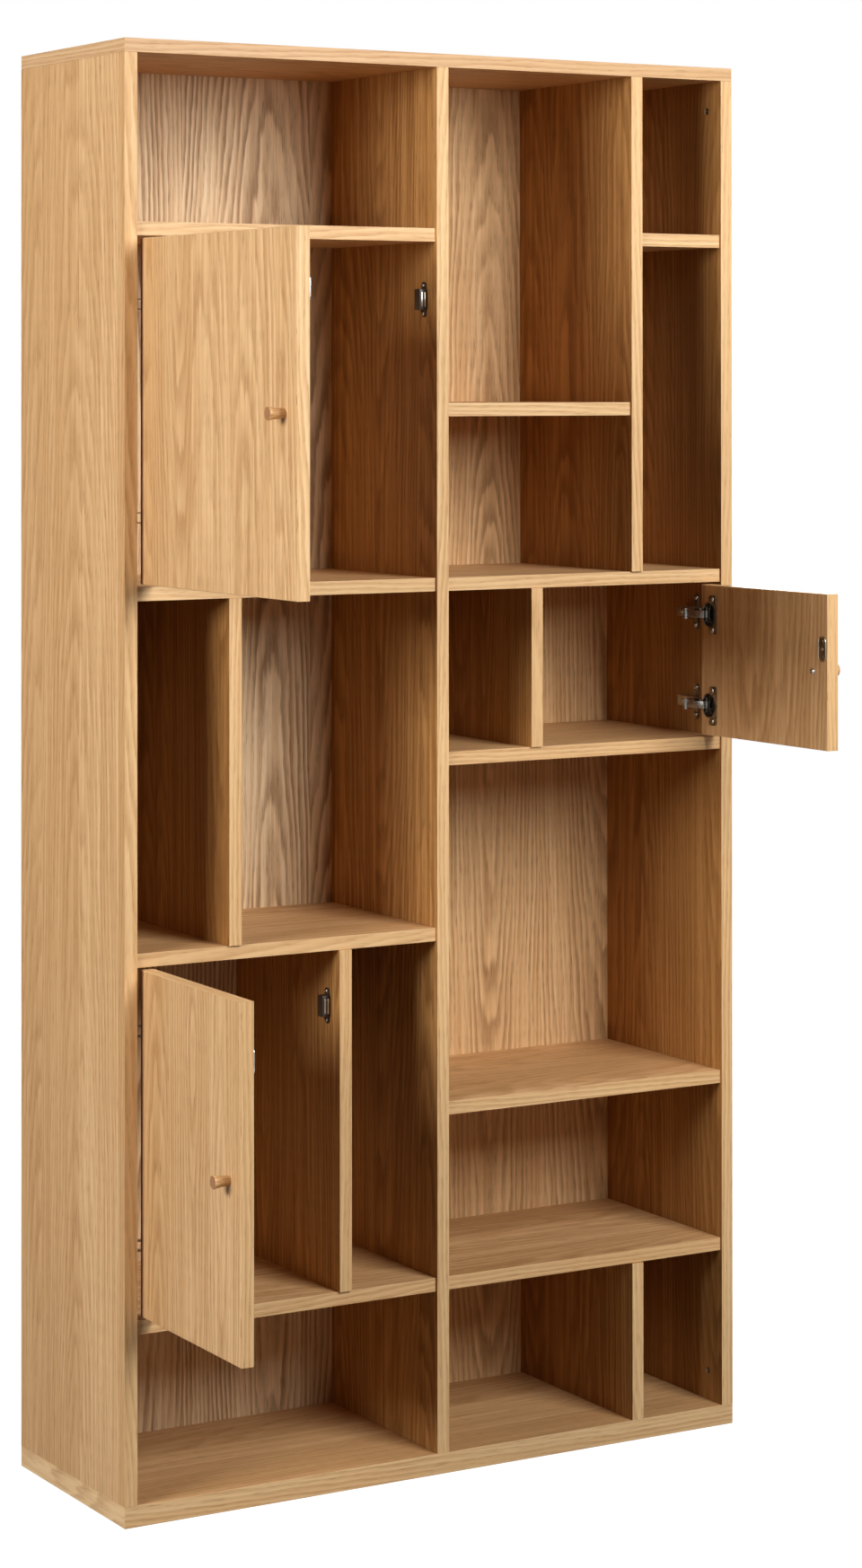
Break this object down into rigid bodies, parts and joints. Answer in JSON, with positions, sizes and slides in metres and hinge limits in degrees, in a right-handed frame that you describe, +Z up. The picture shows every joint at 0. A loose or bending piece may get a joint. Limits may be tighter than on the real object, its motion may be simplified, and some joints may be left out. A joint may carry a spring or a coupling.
{
  "type": "bookcase",
  "caption": "Tall oak bookcase with open compartments, offset short dividers and inset cabinet doors on concealed hinges, with turned wooden knobs.",
  "frame": {"origin": "middle of the underside of the bottom panel", "axes": "+Z up, the open front faces -Y, +X to the right seen from the front"},
  "size_m": [0.9933, 0.7912, 2],
  "materials": {
    "oak": "light oak veneer, satin lacquer",
    "oak_back": "brown oak veneer, satin lacquer",
    "oak_knob": "turned oak, satin lacquer",
    "nickel": "nickel plated",
    "zinc": "zinc plated, dull",
    "catch_brown": "moulded, with steel poles"
  },
  "bodies": {
    "carcass": {"top_panel": "oak", "bottom_panel": "oak", "left_side": "oak", "right_side": "oak", "centre_divider": "oak", "left_back": "oak_back", "right_back": "oak_back", "left_wide_divider": "oak", "left_door_divider": "oak", "right_bottom_divider": "oak", "right_door_divider": "oak", "right_top_divider": "oak", "left_shelf_1": "oak", "left_shelf_3": "oak", "left_shelf_5": "oak", "left_shelf_7": "oak", "right_shelf_1": "oak", "right_shelf_2": "oak", "right_shelf_4": "oak", "right_shelf_5": "oak", "right_shelf_6": "oak", "right_shelf_7": "oak", "left_top_fitting": "nickel", "left_bottom_fitting": "nickel", "right_top_fitting": "nickel", "right_bottom_fitting": "nickel", "upper_door_lower_hinge_arm": "zinc", "upper_door_upper_hinge_arm": "zinc", "upper_door_catch": "catch_brown", "lower_door_lower_hinge_arm": "zinc", "lower_door_upper_hinge_arm": "zinc", "lower_door_catch": "catch_brown", "small_door_lower_hinge_arm": "zinc", "small_door_upper_hinge_arm": "zinc", "small_door_catch": "catch_brown"},
    "upper_door_links": {"upper_door_lower_link": "nickel", "upper_door_upper_link": "nickel"},
    "upper_door": {"upper_door": "oak", "upper_door_lower_hinge_cup": "nickel", "upper_door_upper_hinge_cup": "nickel", "upper_door_knob": "oak_knob", "upper_door_knob_screw": "nickel", "upper_door_strike_plate": "nickel"},
    "lower_door_links": {"lower_door_lower_link": "nickel", "lower_door_upper_link": "nickel"},
    "lower_door": {"lower_door": "oak", "lower_door_lower_hinge_cup": "nickel", "lower_door_upper_hinge_cup": "nickel", "lower_door_knob": "oak_knob", "lower_door_knob_screw": "nickel", "lower_door_strike_plate": "nickel"},
    "small_door_links": {"small_door_lower_link": "nickel", "small_door_upper_link": "nickel"},
    "small_door": {"small_door": "oak", "small_door_lower_hinge_cup": "nickel", "small_door_upper_hinge_cup": "nickel", "small_door_knob": "oak_knob", "small_door_knob_screw": "nickel", "small_door_strike_plate": "nickel"}
  },
  "joints": [
    {"name": "upper_door_link_swing", "type": "hinge", "parent": "carcass", "child": "upper_door_links", "pos_m": [-0.43422, -0.13837, 1.49775], "axis": [0, 0, 1], "range_deg": [-36.93, 5.7]},
    {"name": "upper_door_swing", "type": "hinge", "parent": "upper_door_links", "child": "upper_door", "pos_m": [-0.45163, -0.16726, 1.49775], "axis": [0, 0, 1], "range_deg": [-19.7, 127.9]},
    {"name": "lower_door_link_swing", "type": "hinge", "parent": "carcass", "child": "lower_door_links", "pos_m": [-0.43422, -0.13837, 0.51225], "axis": [0, 0, 1], "range_deg": [-36.93, 5.7]},
    {"name": "lower_door_swing", "type": "hinge", "parent": "lower_door_links", "child": "lower_door", "pos_m": [-0.45163, -0.16726, 0.51225], "axis": [0, 0, 1], "range_deg": [-19.7, 127.9]},
    {"name": "small_door_link_swing", "type": "hinge", "parent": "carcass", "child": "small_door_links", "pos_m": [0.43422, -0.13837, 1.12819], "axis": [0, 0, -1], "range_deg": [-36.93, 5.7]},
    {"name": "small_door_swing", "type": "hinge", "parent": "small_door_links", "child": "small_door", "pos_m": [0.45163, -0.16726, 1.12819], "axis": [0, 0, -1], "range_deg": [-19.7, 127.9]}
  ],
  "couplings": [
    {"joint": "upper_door_link_swing", "follows": "upper_door_swing", "ratio": -0.28867},
    {"joint": "lower_door_link_swing", "follows": "lower_door_swing", "ratio": -0.28867},
    {"joint": "small_door_link_swing", "follows": "small_door_swing", "ratio": -0.28867}
  ]
}
